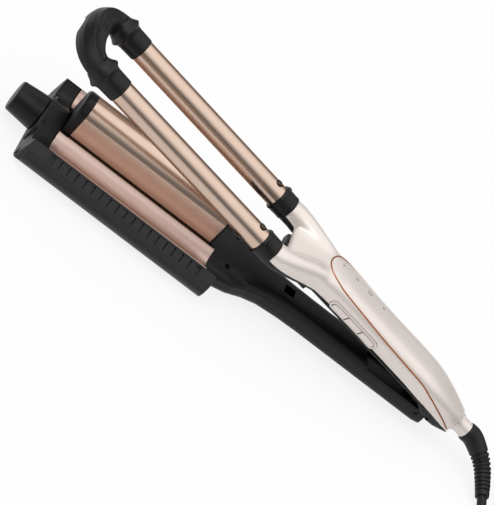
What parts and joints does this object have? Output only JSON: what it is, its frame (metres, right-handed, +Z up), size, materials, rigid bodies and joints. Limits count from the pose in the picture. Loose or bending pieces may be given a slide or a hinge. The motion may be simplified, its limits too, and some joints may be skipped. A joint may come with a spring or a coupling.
{
  "type": "hair waver",
  "caption": "Hair waver: heated tubes on a forked pearl handle, a lower jaw with heated troughs, a barrel raised and lowered by a dial, and a cord on a swivel.",
  "frame": {"origin": "on the underside of the jaw, below the middle of the heated troughs", "axes": "+X runs from the cool tip towards the cord, +Y towards the side without buttons, +Z up from the surface that the jaw rests on"},
  "size_m": [0.5266, 0.1306, 0.0993],
  "materials": {
    "black": "fine satin heat-resistant moulding",
    "guard": "fine satin, dark grey",
    "trough": "pink rose-gold coating, satin gloss",
    "rose": "rose-gold coating, semi-mirror",
    "ceramic": "bare heater block",
    "steel": "plain bright steel",
    "wire": "insulated wire",
    "nylon": "filled nylon",
    "knob": "gloss side, satin face",
    "pearl": "pearl lacquer",
    "copper": "copper-coloured gloss",
    "light": "clear light guides",
    "board": "circuit board",
    "button": "pearl keys",
    "cord": "smooth flexible jacket",
    "strap": "hook and loop strap"
  },
  "bodies": {
    "lower_arm": {"jaw_tray": "black", "guard_near": "guard", "guard_far": "guard", "trough_near": "trough", "trough_far": "trough", "trough_heaters": "ceramic", "front_bracket": "black", "rear_bearing": "black", "lever_cover": "black", "lever_lid": "black", "hinge_pin": "steel", "hinge_spring": "steel", "detent_ball": "steel", "jaw_screws": "steel", "jaw_wiring": "wire", "lift_guides": "steel"},
    "barrel": {"barrel_shell": "rose", "barrel_front_ring": "black", "barrel_rear_cap": "black", "barrel_heater": "ceramic", "barrel_carrier": "nylon"},
    "lift_slide": {"lift_ramp": "nylon"},
    "dial": {"dial_knob": "knob", "dial_shaft": "steel"},
    "upper_arm": {"handle_shell": "pearl", "handle_base": "black", "panel_insert": "pearl", "panel_trim": "copper", "button_bezel": "pearl", "indicator_lights": "light", "tube_near": "rose", "tube_far": "rose", "tube_heaters": "ceramic", "tube_screws": "steel", "collar_near": "black", "collar_far": "black", "cool_tip": "black", "circuit_board": "board", "catch_post": "black", "end_collar": "pearl", "base_screws": "steel", "handle_wiring": "wire"},
    "key_minus": {"button_minus": "button"},
    "key_power": {"button_power": "button"},
    "key_plus": {"button_plus": "button"},
    "cord_swivel": {"strain_relief": "cord", "cord_run": "cord", "cord_coil": "cord", "cord_tail": "cord", "cord_tie": "strap", "plug_body": "cord", "plug_pins": "steel"}
  },
  "joints": [
    {"name": "jaw_hinge", "type": "hinge", "parent": "lower_arm", "child": "upper_arm", "pos_m": [0.237, 0, 0.0165], "axis": [0, -1, 0], "range_deg": [0, 10.74], "stiffness_Nm_per_rad": 2.5, "springref_deg": -20.05},
    {"name": "dial_turn", "type": "hinge", "parent": "lower_arm", "child": "dial", "pos_m": [-0.08, 0, 0.014], "axis": [1, 0, 0], "range_deg": [0, 270]},
    {"name": "sled_slide", "type": "slide", "parent": "lower_arm", "child": "lift_slide", "axis": [-1, 0, 0], "range_m": [0, 0.018]},
    {"name": "barrel_lift", "type": "slide", "parent": "lower_arm", "child": "barrel", "axis": [0, 0, -1], "range_m": [0, 0.012]},
    {"name": "key_minus_press", "type": "slide", "parent": "upper_arm", "child": "key_minus", "axis": [0, 1, 0], "range_m": [0, 0.0006], "stiffness_N_per_m": 400, "springref_m": -0.002},
    {"name": "key_power_press", "type": "slide", "parent": "upper_arm", "child": "key_power", "axis": [0, 1, 0], "range_m": [0, 0.0006], "stiffness_N_per_m": 400, "springref_m": -0.002},
    {"name": "key_plus_press", "type": "slide", "parent": "upper_arm", "child": "key_plus", "axis": [0, 1, 0], "range_m": [0, 0.0006], "stiffness_N_per_m": 400, "springref_m": -0.002},
    {"name": "cord_turn", "type": "hinge", "parent": "upper_arm", "child": "cord_swivel", "pos_m": [0.27385, 0, 0.0203], "axis": [0.9825, 0, -0.1864], "continuous": true}
  ],
  "couplings": [
    {"joint": "dial_turn", "follows": "barrel_lift", "rad_per_m": 392.69},
    {"joint": "sled_slide", "follows": "barrel_lift", "ratio": 1.5}
  ]
}
